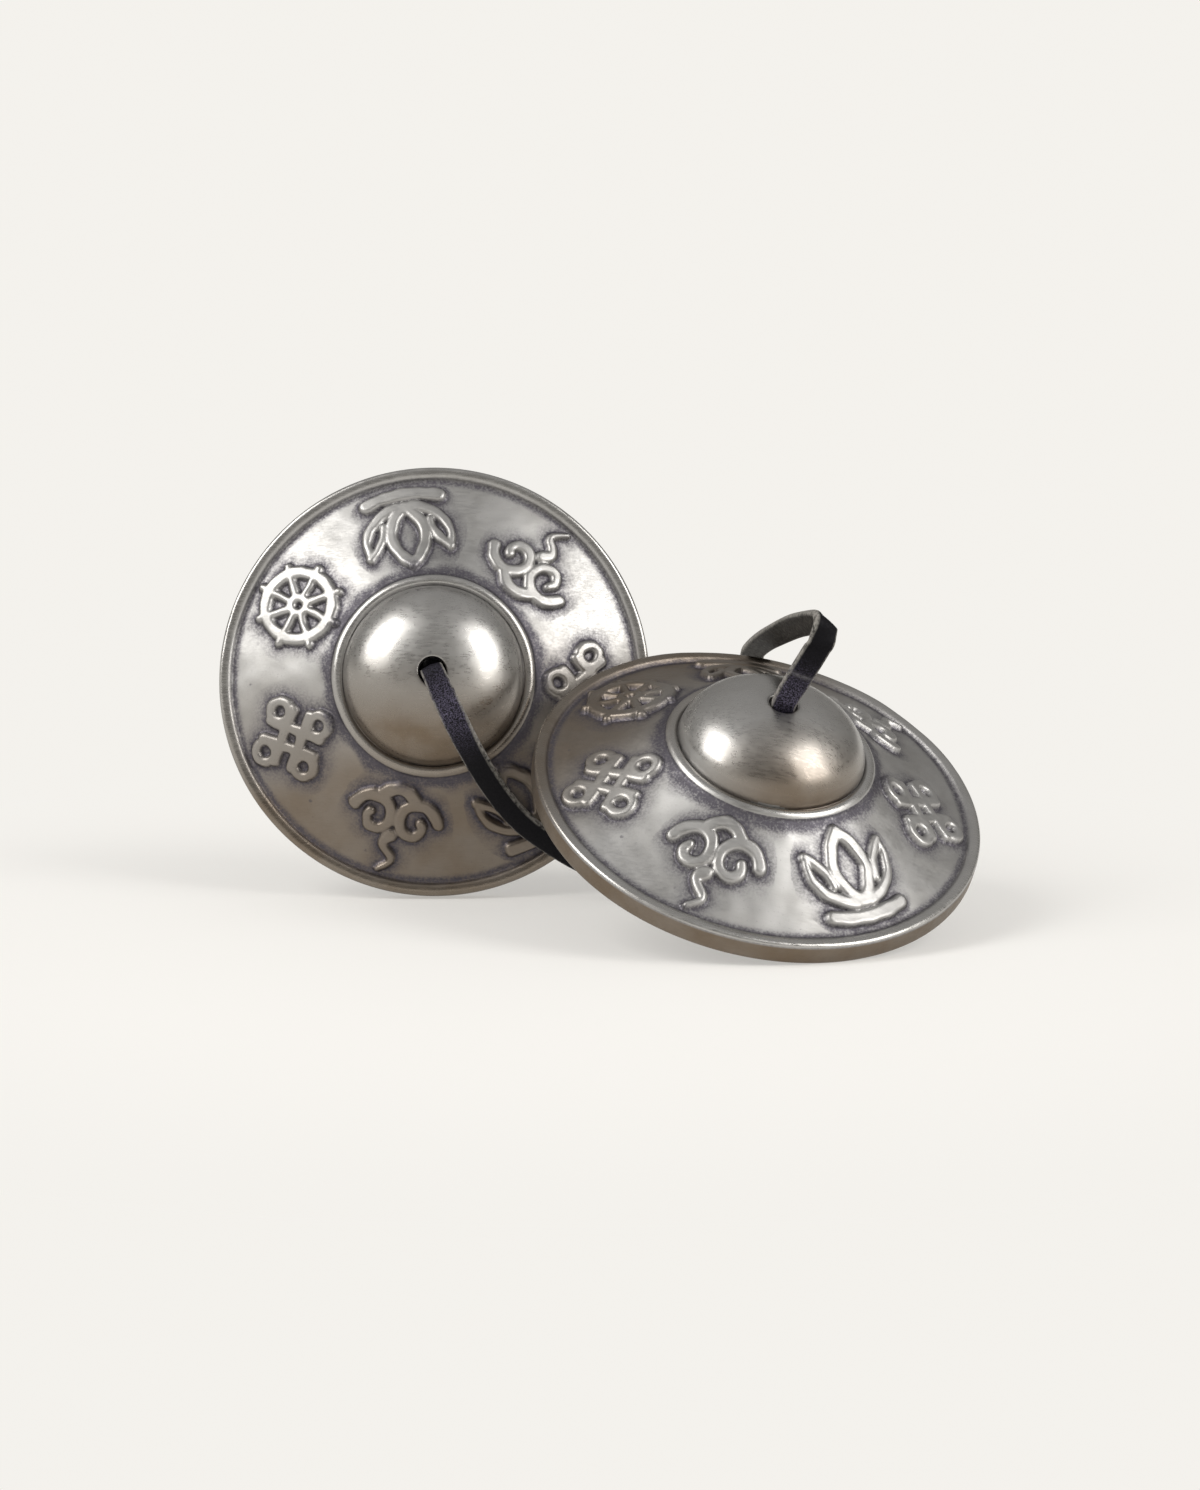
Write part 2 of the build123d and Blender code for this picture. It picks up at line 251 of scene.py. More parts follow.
fold_roll = np.interp(to_right_end, FOLD_ROLL_AT, np.radians(FOLD_ROLL))
leg_roll = np.interp(strap_travel, LEG_ROLL_AT, np.radians(LEG_ROLL))
turns = twist * twist_share + fold_roll + leg_roll
strap_widths = np.array([turned(w, t, turn) for w, t, turn in zip(from_left, tangents, turns)])
strap_normals = np.cross(strap_widths, tangents)
lift = STRAP_WIDTH / 2 * np.sin(leg_roll) * MM
ribbon_line = strap_line + np.cross(from_left, tangents) * lift[:, None]
settle_reach = np.where(to_right_end < FOLD_AT, FRONT_REACH, BACK_REACH)
settled = hump(to_right_end, FOLD_AT, settle_reach)
ribbon_line = ribbon_line + settled[:, None] * FOLD_SETTLE * MM
up_the_leg = np.clip((to_right_end - STRAIGHT_FROM) / (STRAIGHT_TO - STRAIGHT_FROM), 0, 1)
leg_foot = ribbon_line[np.argmin(np.abs(to_right_end - STRAIGHT_FROM))]
leg_head = ribbon_line[np.argmin(np.abs(to_right_end - STRAIGHT_TO))]
chord = leg_foot + up_the_leg[:, None] * (leg_head - leg_foot)
pulled = np.clip(PULL * up_the_leg * (1 - up_the_leg), 0, MOST_PULL)[:, None]
ribbon_line = ribbon_line * (1 - pulled) + chord * pulled
moved = np.linalg.norm(ribbon_line - strap_line, axis=1).max() / MM
print("ribbon moved by up to", round(float(moved), 1), "mm from the plain line")

# %% [markdown]
# ## The strap's ribbon
#
# The ribbon is a row of rings, each a flat section with rounded edges and a soft crown on its smooth
# side. Wear has pressed the free strap wider, and the holes squeeze it narrower and thicker. The ribbon
# is one shape, cut in three: the two bends at the holes and the long middle, which is the free cord. Four
# values are kept at its points for the finish: the rough side, the cut edges, a painted violet sheen near
# the holes, where it has rubbed, and an old crease on the front leg.

# %% Mesh helpers
def four_sided(*corners):
    """Four-sided faces from four arrays of point numbers, one array for each corner."""
    return np.stack(corners, axis=-1).reshape(-1, 4).tolist()


def mesh_piece(name, points, faces, values):
    """A smooth mesh object, with named values at its points."""
    mesh = bpy.data.meshes.new(name)
    mesh.from_pydata(points.reshape(-1, 3).tolist(), [], faces)
    mesh.shade_smooth()
    for label, data in values.items():
        attribute = mesh.attributes.new(label, "FLOAT", "POINT")
        attribute.data.foreach_set("value", np.ascontiguousarray(data, dtype=np.float32).ravel())
    piece = bpy.data.objects.new(name, mesh)
    bpy.context.scene.collection.objects.link(piece)
    return piece


def closed_strip(name, rings, values):
    """A closed piece from rings of points."""
    count, around = rings.shape[:2]
    corners = np.arange(count * around).reshape(count, around)
    next_corners = np.roll(corners, -1, axis=1)
    faces = four_sided(corners[:-1], next_corners[:-1], next_corners[1:], corners[1:])
    ends = [corners[0, ::-1].tolist(), corners[-1].tolist()]
    return mesh_piece(name, rings, faces + ends, values)


print("mesh helpers ready")

# %% The ribbon's rings
EDGE_ROUND = 0.32
EDGE_CUT = EDGE_ROUND * 0.29
CROWN = 0.12
ACROSS_POINTS = 9
HOLE_PLACE, SWELL_REACH = 4.5, 3.0
FLATTENED, THICKNESS_SWELL = 0.14, 0.22
HOLE_SQUEEZE = 0.6


def ribbon_section():
    """The strap's section as (across, up) points, with a soft crown on its smooth side."""
    half, thick = STRAP_WIDTH / 2, STRAP_THICKNESS / 2
    section = []
    for side in (1, -1):
        for across in np.linspace(-1, 1, ACROSS_POINTS):
            crown = CROWN * (1 - across**2) if side > 0 else 0
            section.append((side * across * (half - EDGE_ROUND), side * (thick + crown - CROWN)))
        section.append((side * (half - EDGE_CUT), side * (thick - CROWN - EDGE_CUT)))
        section.append((side * half, side * (thick - CROWN - EDGE_ROUND)))
        section.append((side * half, -side * (thick - CROWN - EDGE_ROUND)))
        section.append((side * (half - EDGE_CUT), -side * (thick - CROWN - EDGE_CUT)))
    return np.array(section)


strap_section = ribbon_section()
squeezed = hump(strap_travel, HOLE_PLACE, SWELL_REACH) + hump(to_right_end, HOLE_PLACE, SWELL_REACH)
wide_ways = strap_widths * (1 + FLATTENED * (1 - HOLE_SQUEEZE * squeezed))[:, None]
thick_ways = strap_normals * (1 + THICKNESS_SWELL * squeezed)[:, None]
ribbon_rings = (
    ribbon_line[:, None, :]
    + strap_section[None, :, :1] * MM * wide_ways[:, None, :]
    + strap_section[None, :, 1:] * MM * thick_ways[:, None, :]
)
print("ribbon", len(ribbon_rings), "rings of", len(strap_section), "points")

# %% The ribbon's pieces
FLESH_SHARPNESS = 1.6
LEFT_SHEEN_AT, RIGHT_SHEEN_AT, SHEEN_REACH = 11, 7, 5
OLD_CREASE_AT, OLD_CREASE_REACH = 11.5, 0.35
BEND_LENGTH = 11.0

flesh_side = np.clip(0.5 - strap_section[:, 1] / STRAP_THICKNESS * FLESH_SHARPNESS, 0, 1)
flat_half = STRAP_WIDTH / 2 - EDGE_ROUND
cut_edge = np.clip((np.abs(strap_section[:, 0]) - flat_half) / EDGE_ROUND, 0, 1)
# A painted violet sheen near each hole, where the strap has rubbed.
painted_sheen = hump(strap_travel, LEFT_SHEEN_AT, SHEEN_REACH) + hump(to_right_end, RIGHT_SHEEN_AT, SHEEN_REACH)
old_crease = hump(to_right_end, OLD_CREASE_AT, OLD_CREASE_REACH)
every_ring = np.ones((len(strap_line), 1))
every_point = np.ones(len(strap_section))
ribbon_values = {
    "flesh": every_ring * flesh_side,
    "edge": every_ring * cut_edge,
    "painted_sheen": painted_sheen[:, None] * every_point,
    "folded": old_crease[:, None] * every_point,
}
left_cut = int(np.searchsorted(strap_travel, BEND_LENGTH))
right_cut = int(np.searchsorted(strap_travel, strap_travel[-1] - BEND_LENGTH))
spans = {
    "left_bend": slice(0, left_cut + 1),
    "strap_band": slice(left_cut, right_cut + 1),
    "right_bend": slice(right_cut, None),
}
strap_pieces = {}
for name, span in spans.items():
    values = {label: data[span] for label, data in ribbon_values.items()}
    strap_pieces[name] = closed_strip(name, ribbon_rings[span], values)
    print(name, len(strap_pieces[name].data.polygons), "faces")

# %% [markdown]
# ## Finish helpers
#
# A finish is a small network of shader nodes. These helpers add one node in a line, so that a finish reads
# from top to bottom like a recipe.


# %% Finish helpers
class Finish:
    """A material under construction, with its nodes added one at a time."""

    def __init__(self, name):
        self.material = bpy.data.materials.new(name)
        self.material.use_nodes = True
        self.tree = self.material.node_tree
        self.shader = self.tree.nodes["Principled BSDF"]
        self.place = self.tree.nodes.new("ShaderNodeTexCoord").outputs["Object"]

    def link(self, value, socket):
        """A node's result goes into a socket, or a plain value is set on it."""
        if isinstance(value, bpy.types.NodeSocket):
            self.tree.links.new(value, socket)
        else:
            socket.default_value = value

    def add(self, kind, **inputs):
        """A new node with its inputs linked or set."""
        node = self.tree.nodes.new("ShaderNode" + kind)
        for name, value in inputs.items():
            self.link(value, node.inputs[name.replace("_", " ").title()])
        return node

    def attribute(self, name):
        """A value that is kept at the mesh's points."""
        node = self.add("Attribute")
        node.attribute_name = name
        return node.outputs["Fac"]

    def stretched(self, scale, turn=0.0):
        """The place on the piece, stretched and turned."""
        node = self.add("Mapping", vector=self.place, scale=scale, rotation=(0, 0, turn))
        return node.outputs["Vector"]

    def noise(self, scale, detail=3.0, roughness=0.55, place=None):
        """Uneven clouds, with the scale in clouds per metre."""
        place = place or self.place
        node = self.add("TexNoise", vector=place, scale=scale, detail=detail, roughness=roughness)
        return node.outputs["Fac"]

    def cells(self, scale):
        """The distance to the nearest of many scattered points."""
        return self.add("TexVoronoi", vector=self.place, scale=scale).outputs["Distance"]

    def maths(self, operation, first, second, clamp=False):
        """A sum, a product or the like of two values."""
        node = self.add("Math")
        node.operation = operation
        node.use_clamp = clamp
        self.link(first, node.inputs[0])
        self.link(second, node.inputs[1])
        return node.outputs["Value"]

    def span(self, value, low, high, to_low=0.0, to_high=1.0):
        """A soft step from one number to another, as the value goes from low to high."""
        node = self.add("MapRange", from_min=low, from_max=high, to_min=to_low, to_max=to_high)
        node.interpolation_type = "SMOOTHSTEP"
        self.link(value, node.inputs["Value"])
        return node.outputs["Result"]

    def mix(self, factor, first, second):
        """One colour where the factor is 0, the other where it is 1."""
        node = self.add("Mix")
        node.data_type = "RGBA"
        self.link(factor, node.inputs["Factor"])
        self.link(first, node.inputs["A"])
        self.link(second, node.inputs["B"])
        return node.outputs["Result"]

    def bump(self, height, distance, strength=1.0, under=None):
        """Fine unevenness that only the light shows, on top of another one if given."""
        node = self.add("Bump", distance=distance, strength=strength, height=height)
        if under is not None:
            self.tree.links.new(under, node.inputs["Normal"])
        return node.outputs["Normal"]


print("finish helpers ready")

# %% [markdown]
# ## Leather
#
# The strap's smooth side is black, with a painted violet sheen near the holes, where it has rubbed. Its
# rough side is grey-brown, and the knife left pale, fuzzy edges. One plain dark colour would look like
# plastic, so the values painted on the ribbon's points say which side is which, and fine noise breaks each
# up.

# %% Leather finish
SMOOTH_BLACK = (0.004, 0.0037, 0.005, 1)
# Painted sheen: this violet colour near the holes stands in for the gloss of rubbed leather.
PAINTED_SHEEN_VIOLET = (0.10, 0.09, 0.135, 1)
CREASE_GREY = (0.16, 0.155, 0.165, 1)
ROUGH_DARK = (0.016, 0.015, 0.013, 1)
ROUGH_PALE = (0.075, 0.068, 0.060, 1)
EDGE_PALE = (0.29, 0.275, 0.25, 1)
GRAIN_DEPTH, FIBRE_DEPTH = 0.08 * MM, 0.10 * MM
LEATHER_BUMP = 0.5
LEATHER_SHINE = 0.1


def strap_leather():
    finish = Finish("strap_leather")
    grain = finish.noise(scale=2600, detail=4)
    fibre = finish.noise(scale=1400, detail=6, roughness=0.7)
    sheen = finish.noise(scale=5200, detail=4)
    flesh = finish.span(finish.attribute("flesh"), 0.62, 0.9)
    fuzz = finish.span(fibre, 0.3, 0.6)
    edge = finish.maths("MULTIPLY", finish.attribute("edge"), fuzz, clamp=True)
    gloss = finish.span(sheen, 0.4, 0.65)
    # The painted violet sheen near the holes, broken up by fine grain.
    painted_sheen = finish.maths("MULTIPLY", finish.attribute("painted_sheen"), gloss, clamp=True)
    cracks = finish.span(fibre, 0.3, 0.7, 0.1, 0.7)
    folded = finish.maths("MULTIPLY", finish.attribute("folded"), cracks, clamp=True)
    smooth_side = finish.mix(painted_sheen, SMOOTH_BLACK, PAINTED_SHEEN_VIOLET)
    smooth_side = finish.mix(folded, smooth_side, CREASE_GREY)
    rough_side = finish.mix(finish.span(fibre, 0.35, 0.7), ROUGH_DARK, ROUGH_PALE)
    colour = finish.mix(flesh, smooth_side, rough_side)
    colour = finish.mix(edge, colour, EDGE_PALE)
    finish.link(colour, finish.shader.inputs["Base Color"])
    finish.link(finish.span(grain, 0.3, 0.7, 0.45, 0.65), finish.shader.inputs["Roughness"])
    grain_bump = finish.bump(grain, GRAIN_DEPTH, LEATHER_BUMP)
    fibre_bump = finish.bump(fibre, FIBRE_DEPTH, LEATHER_BUMP, grain_bump)
    finish.link(fibre_bump, finish.shader.inputs["Normal"])
    finish.shader.inputs["Specular IOR Level"].default_value = LEATHER_SHINE
    return finish.material


leather = strap_leather()
for piece in strap_pieces.values():
    piece.data.materials.append(leather)
print("leather on", len(strap_pieces), "pieces")

# %% [markdown]
# ## Knots
#
# Each end of the strap is tied in an overhand knot inside the dome, too large for the hole. A ball would
# fill the space, but it shows when a cymbal tips. An overhand knot pulled tight is an open trefoil, so
# its turns follow the trefoil curve, pressed flat as leather is, and a cut tail sticks out below.

# %% Shapes of the knot and its tail
KNOT_REACH = 0.98
KNOT_FLATNESS = 1.55
KNOT_START, KNOT_END = 0.35, 2 * np.pi + 0.2
KNOT_STEPS = 150
TURN_WIDTH, TURN_THICKNESS = 2.9, 1.7
TAIL_LENGTH = 12.0
TAIL_TILT, TAIL_CURL = radians(32), 0.25
TAIL_SWAY, TAIL_WAVE = 0.5, 2.2
TAIL_STEPS = 24
OVAL_POINTS = 16


def oval_rings(line, across, up, width, thickness):
    """Rings of an oval section along a line."""
    angles = np.linspace(0, 2 * np.pi, OVAL_POINTS, endpoint=False)
    return (
        line[:, None, :]
        + np.cos(angles)[None, :, None] * across[:, None, :] * width / 2
        - np.sin(angles)[None, :, None] * up[:, None, :] * thickness / 2
    )


def knot_turns():
    """Rings of the trefoil's turns, in millimetres about the knot's middle."""
    t = np.linspace(KNOT_START, KNOT_END, KNOT_STEPS)
    x = np.sin(t) + 2 * np.sin(2 * t)
    y = np.cos(t) - 2 * np.cos(2 * t)
    line = np.stack([x * KNOT_REACH, y * KNOT_REACH, -KNOT_FLATNESS * np.sin(3 * t)], 1)
    ways = unit(np.gradient(line, axis=0))
    outward = unit(line - ways * np.sum(line * ways, axis=1, keepdims=True))
    return oval_rings(line, np.cross(ways, outward), outward, TURN_WIDTH, TURN_THICKNESS)


def knot_tail():
    """Rings of the cut tail, which leaves the knot on a slant and curls a little."""
    t = np.linspace(0, 1, TAIL_STEPS)
    reach = t * TAIL_LENGTH
    tilt = TAIL_TILT + TAIL_CURL * t**2
    line = np.stack([TAIL_SWAY * np.sin(TAIL_WAVE * t), reach * np.sin(tilt), -reach * np.cos(tilt)], 1)
    ways = unit(np.gradient(line, axis=0))
    across = unit(np.cross(np.cross(ways, [1.0, 0.0, 0.0]), ways))
    return oval_rings(line, across, np.cross(across, ways), STRAP_WIDTH, STRAP_THICKNESS)


print("knot", KNOT_STEPS, "rings, tail", TAIL_STEPS, "rings")

# %% Tie the knots
KNOT_DEPTH = 6.7
KNOT_SHEEN = 0.2


def knot_frame(side):
    """The place of a knot's middle, with X along the strap's width and Z along the cymbal's axis."""
    axis = Vector(joints[f"{side}_spin"]["axis"]).normalized()
    width = Vector(joints[f"{side}_swing"]["axis"])
    width = (width - axis * width.dot(axis)).normalized()
    if side == "right":
        width = -width
    place = Matrix((width, axis.cross(width), axis)).transposed().to_4x4()
    place.translation = Vector(joints[f"{side}_swing"]["pos_m"]) - axis * KNOT_DEPTH * MM
    return place


for side in ("left", "right"):
    for name, rings in (("knot_turns", knot_turns()), ("tail", knot_tail())):
        plain = np.zeros(rings.shape[:2])
        # The knots take a little of the painted violet sheen.
        marks = {"flesh": plain, "edge": plain, "painted_sheen": plain + KNOT_SHEEN, "folded": plain}
        piece = closed_strip(f"{side}_{name}", rings * MM, marks)
        piece.data.transform(knot_frame(side))
        piece.data.materials.append(leather)
        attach(piece, f"{side}_knot")
    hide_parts(f"{side}_knot")
    print(side, "knot tied")

# %% [markdown]
# ## The strap rides on the frame
#
# The free middle rides on the strap's body, and the two bends stay where they lie.

band = strap_pieces["strap_band"]
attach(band, "strap")
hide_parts("strap")
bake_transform(strap_pieces["left_bend"])
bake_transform(strap_pieces["right_bend"])

# %% [markdown]
# ## The casting's section
#
# A tingsha is cast in one piece and turned true. Its section runs from the strap hole over the dome, down
# into a crease and over a bead ring, out along the slightly hollow face to the raised lip, round the rim,
# and back along the hollow underside. Simple solids could be joined for this, but one line turned about
# the axis has no seams. It is laid out with the solid's sizes, with a slightly deeper crease and a crisper
# hole, and then eased, as polishing eases every corner of a casting.

# %% Sizes and lines of the section
RIM_RADIUS, RIM_THICKNESS, RIM_ROUND = 32.5, 3.5, 0.6
LIP_WIDTH, LIP_HEIGHT = 1.5, 0.6
LAND_WIDTH, LAND_STEP = 3.6, 0.9
FACE_RISE, FACE_SAG = 7.2, 0.5
RING_RADIUS, RING_WIDTH, RING_HEIGHT = 15.2, 1.5, 0.9
GROOVE_HEIGHT, GROOVE_WIDTH = 7.7, 0.3
CREASE_HEIGHT = 7.5
DOME_RADIUS = RING_RADIUS - RING_WIDTH - GROOVE_WIDTH
DOME_RISE = 8.2
HOLE_RADIUS, HOLE_ROUND = 2.05, 0.25
WALL = 2.5
LIP_FOOT = (RIM_RADIUS - LIP_WIDTH - LIP_HEIGHT, -LIP_HEIGHT)
RING_FOOT = (RING_RADIUS, FACE_RISE)
ARC_SHARE = 1.2


def straight(start, end, step):
    """Points along a straight line, about a step apart."""
    count = max(2, int(np.hypot(end[0] - start[0], end[1] - start[1]) / step))
    return np.linspace(start, end, count)


def sagged(start, end, sag, step):
    """A line that hangs below the straight one between two points."""
    line = straight(start, end, step)
    t = np.linspace(0, 1, len(line))
    line[:, 1] -= 4 * sag * t * (1 - t)
    return line


def dome_line(radius, base, rise, step):
    """A quarter of an oval from the hole's edge out to the dome's foot."""
    first = np.arcsin((HOLE_RADIUS + HOLE_ROUND) / radius)
    angles = np.linspace(first, np.pi / 2, int(ARC_SHARE * radius / step))
    return np.stack([radius * np.sin(angles), base + rise * np.cos(angles)], 1)


def quarter(centre, radius, start, end, count=7):
    """A quarter of a circle, from one angle to another."""
    angles = np.radians(np.linspace(start, end, count))
    return np.stack([centre[0] + radius * np.cos(angles), centre[1] + radius * np.sin(angles)], 1)


def eased(line, passes):
    """The line with its corners softened, its ends kept."""
    line = line.copy()
    for _ in range(passes):
        line[1:-1] = line[1:-1] * 0.5 + (line[:-2] + line[2:]) * 0.25
    return line


print("dome", round(2 * DOME_RADIUS, 1), "mm across on a cymbal of", 2 * RIM_RADIUS, "mm")

# %% Lay out the section
BEAD_POINTS = 17
CLOSEST_POINTS = 0.01
EASING_PASSES = 3

face_slope = np.arctan2(RING_FOOT[1] - LIP_FOOT[1], LIP_FOOT[0] - RING_FOOT[0])
hollow_radius = DOME_RADIUS - WALL
hollow_drop = (RING_RADIUS - hollow_radius) * np.tan(face_slope)
hollow_base = FACE_RISE - WALL / np.cos(face_slope) + hollow_drop
hollow_rise = GROOVE_HEIGHT + DOME_RISE - WALL - hollow_base
dome = dome_line(DOME_RADIUS, GROOVE_HEIGHT, DOME_RISE, step=0.30)
hollow = dome_line(hollow_radius, hollow_base, hollow_rise, step=0.60)[::-1]
bead_turn = np.linspace(0, np.pi, BEAD_POINTS)
bead_share = (1 - np.cos(bead_turn)) / 2
bead_foot = CREASE_HEIGHT + (FACE_RISE - CREASE_HEIGHT) * bead_share
bead_rise = FACE_RISE + RING_HEIGHT - (CREASE_HEIGHT + FACE_RISE) / 2
bead_out = DOME_RADIUS + (RING_RADIUS - DOME_RADIUS) * bead_share
bead = np.stack([bead_out, bead_foot + bead_rise * np.sin(bead_turn)], 1)
hole_out = HOLE_RADIUS + HOLE_ROUND
lip_inner = RIM_RADIUS - LIP_WIDTH
rim_inner = RIM_RADIUS - RIM_ROUND
land_inner = RIM_RADIUS - LAND_WIDTH
land_top = LAND_STEP - RIM_THICKNESS
stretches = [
    quarter((hole_out, dome[0, 1] - HOLE_ROUND), HOLE_ROUND, 180, 90),
    dome,
    straight((DOME_RADIUS, GROOVE_HEIGHT), (DOME_RADIUS, CREASE_HEIGHT), step=0.15),
    bead,
    sagged(RING_FOOT, LIP_FOOT, FACE_SAG, step=0.17),
    straight(LIP_FOOT, (lip_inner, 0), step=0.14),
    straight((lip_inner, 0), (rim_inner, 0), step=0.18),
    quarter((rim_inner, -RIM_ROUND), RIM_ROUND, 90, 0),
    straight((RIM_RADIUS, -RIM_ROUND), (RIM_RADIUS, RIM_ROUND - RIM_THICKNESS), step=0.30),
    quarter((rim_inner, RIM_ROUND - RIM_THICKNESS), RIM_ROUND, 0, -90),
    straight((rim_inner, -RIM_THICKNESS), (land_inner, -RIM_THICKNESS), step=0.5),
    straight((land_inner, -RIM_THICKNESS), (land_inner, land_top), step=0.3),
    sagged((land_inner, land_top), (hollow_radius, hollow_base), FACE_SAG, step=0.6),
    hollow,
    quarter((hole_out, hollow[-1, 1] + HOLE_ROUND), HOLE_ROUND, 270, 180),
]
casting_section = np.concatenate(stretches)
section_gaps = np.linalg.norm(np.diff(casting_section, axis=0), axis=1)
distinct = np.concatenate([[True], section_gaps > CLOSEST_POINTS])
casting_section = eased(casting_section[distinct], EASING_PASSES)
print("casting section", len(casting_section), "points")

# %% [markdown]
# ## Raised ornament
#
# Seven raised motifs stand on each face with their heads to the dome: lotus blooms, endless knots, cloud
# scrolls and a wheel, all common ornament. They could be modelled one by one and laid on, but the face is
# a sagged cone. Each is drawn here with a few brush strokes, as in the pattern maker's wax. The distance
# from a point to the nearest stroke gives the soft, rounded section of a cast relief, and the same
# distance says where dark patina gathers round it.

# %% The brush
RING_STEPS = 33


def stroke(x, y, width):
    """A brush stroke: its points in millimetres about the motif's middle, and its width along them."""
    x, y, width = (np.asarray(value, float) for value in (x, y, width))
    x, y, width = np.broadcast_arrays(x, y, width)
    return np.stack([x, y], 1), width


def ring(x, y, radius, width):
    """A round stroke."""
    turn = np.linspace(0, 2 * np.pi, RING_STEPS)
    return stroke(x + radius * np.cos(turn), y + radius * np.sin(turn), width)


def mirrored(points, width):
    """The same stroke on the other side."""
    return points * (-1, 1), width


print("brush ready, a ring of it has", len(ring(0, 0, 1, 1)[0]), "points")


# %% Strokes of the motifs
def lotus_strokes():
    """A closed bud between two pairs of open petals, on a curved seat."""
    t = np.linspace(0, 1, 17)
    leaf = 2.3 * np.sin(np.pi * t) ** 0.8
    petal = stroke(leaf, -3.0 + 8.2 * t, 1.5)
    outer = stroke(1.0 + 4.6 * np.sin(np.pi * t * 0.62), -3.0 + 6.6 * t**1.5, 1.5 - 0.5 * t)
    inner = stroke(3.1 + 2.3 * t**2, -0.6 + 4.2 * t, 1.1)
    seat = stroke(5.0 * (2 * t - 1), -4.9 + 0.9 * (2 * t - 1) ** 2, 1.6)
    return [petal, mirrored(*petal), outer, mirrored(*outer), inner, mirrored(*inner), seat]


def cloud_strokes():
    """Two curls under a crown, with a waving tail."""
    t = np.linspace(0, 1, 41)
    turn = np.pi * (0.1 + 2.05 * t)
    reach = 3.1 - 2.3 * t
    curl = stroke(2.7 + reach * np.cos(turn), 0.9 + reach * np.sin(turn), 1.5 - 0.3 * t)
    crown = stroke(2.4 * (2 * t - 1), 5.0 - 1.3 * (2 * t - 1) ** 2, 1.5)
    tail = stroke(0.8 * np.sin(2.3 * np.pi * t), -1.2 - 4.8 * t, 1.5 - 0.8 * t)
    return [curl, mirrored(*curl), crown, tail]


def knot_strokes():
    """Two crossing pairs of bars with a loop at each corner."""
    strokes = []
    bar = np.array([-3.6, 3.6])
    for way_x, way_y in ((1, 1), (1, -1)):
        for shift in (-1.25, 1.25):
            along, across = bar / np.sqrt(2), shift / np.sqrt(2)
            strokes.append(stroke(way_x * along - way_y * across, way_y * along + way_x * across, 1.35))
    for place_x, place_y in ((4.0, 0), (-4.0, 0), (0, 4.0), (0, -4.0)):
        strokes.append(ring(place_x, place_y, 1.35, 1.2))
    return strokes


def wheel_strokes():
    """A rim and a hub with eight spokes."""
    strokes = [ring(0, 0, 4.6, 1.5), ring(0, 0, 1.1, 1.2)]
    spoke = np.array([1.4, 5.6])
    for turn in np.arange(8) * np.pi / 4:
        strokes.append(stroke(spoke * np.cos(turn), spoke * np.sin(turn), 1.0))
    return strokes


MOTIF_STROKES = {
    "lotus": lotus_strokes(),
    "cloud": cloud_strokes(),
    "knot": knot_strokes(),
    "wheel": wheel_strokes(),
}
for motif, strokes in MOTIF_STROKES.items():
    print(motif, len(strokes), "strokes")

# %% Unevenness by hand
RIPPLE_WAVES, RIPPLE_SCALE = 7, 4
RIPPLE_SPREAD = (0.6, 1.5)


def ripple(x, y, seed, wave):
    """A smooth uneven field, about -1 to 1, with waves of about the given length."""
    draw = np.random.default_rng(seed)
    total = np.zeros_like(x)
    for _ in range(RIPPLE_WAVES):
        way = draw.uniform(0, 2 * np.pi)
        phase = draw.uniform(0, 2 * np.pi)
        size = draw.uniform(*RIPPLE_SPREAD)
        total += np.sin((x * np.cos(way) + y * np.sin(way)) * 2 * np.pi / (wave * size) + phase)
    return total / RIPPLE_SCALE


print("ripples of", RIPPLE_WAVES, "waves")

# %% Relief from the strokes
MOTIF_ORDER = ("lotus", "cloud", "knot", "lotus", "cloud", "knot", "wheel")
MOTIF_RADIUS = 22.9
FIRST_MOTIF_ANGLE = 100.0
MOTIF_REACH = 9.0
MOTIF_SCALE = 1.12
STROKE_SCALE = 1.4
RELIEF_HEIGHT = 0.9
SHOULDER = 0.6
HAND_WOBBLE, WOBBLE_WAVE = 0.10, 3.0
FAR_AWAY, TINY = 9.0, 1e-9


def stroke_distance(x, y, points, width):
    """Distance to the edge of a stroke, negative inside it."""
    nearest = np.full_like(x, np.inf)
    for start, end, start_width, end_width in zip(points, points[1:], width, width[1:]):
        way = end - start
        along = (x - start[0]) * way[0] + (y - start[1]) * way[1]
        t = np.clip(along / max(way @ way, TINY), 0, 1)
        gap = np.hypot(x - start[0] - t * way[0], y - start[1] - t * way[1])
        nearest = np.minimum(nearest, gap - (start_width + t * (end_width - start_width)) / 2)
    return nearest


def rounded_step(distance, shoulder):
    """Height from 0 at an outline to 1 inside it, over a rounded shoulder."""
    t = np.clip(-distance / shoulder, 0, 1)
    return np.sqrt(1 - (1 - t) ** 2)


def ornament(x, y, seed):
    """Relief height and distance to the nearest stroke over one face."""
    wobble_x = HAND_WOBBLE * ripple(x, y, seed, WOBBLE_WAVE)
    wobble_y = HAND_WOBBLE * ripple(x, y, seed + 1, WOBBLE_WAVE)
    x, y = x + wobble_x, y + wobble_y
    nearest = np.full_like(x, FAR_AWAY)
    for index, motif in enumerate(MOTIF_ORDER):
        angle = np.radians(FIRST_MOTIF_ANGLE - index * 360 / len(MOTIF_ORDER))
        inward = MOTIF_RADIUS - x * np.cos(angle) - y * np.sin(angle)
        side = x * np.sin(angle) - y * np.cos(angle)
        near = np.hypot(inward, side) < MOTIF_REACH
        for points, width in MOTIF_STROKES[motif]:
            gap = stroke_distance(side[near], inward[near], points * MOTIF_SCALE, width * STROKE_SCALE)
            nearest[near] = np.minimum(nearest[near], gap)
    return rounded_step(nearest, SHOULDER) * RELIEF_HEIGHT, nearest


print("ornament", ", ".join(MOTIF_ORDER))

# %% [markdown]
# ## The castings' shape
#
# The section is turned round the axis in many narrow steps, and the face's points rise by the ornament.
# Both cymbals come from one pattern, but each was polished by hand, so each has its own slight waves and
# dents. They are real shape and not a trick of the light, since a polished dome shows every wave.

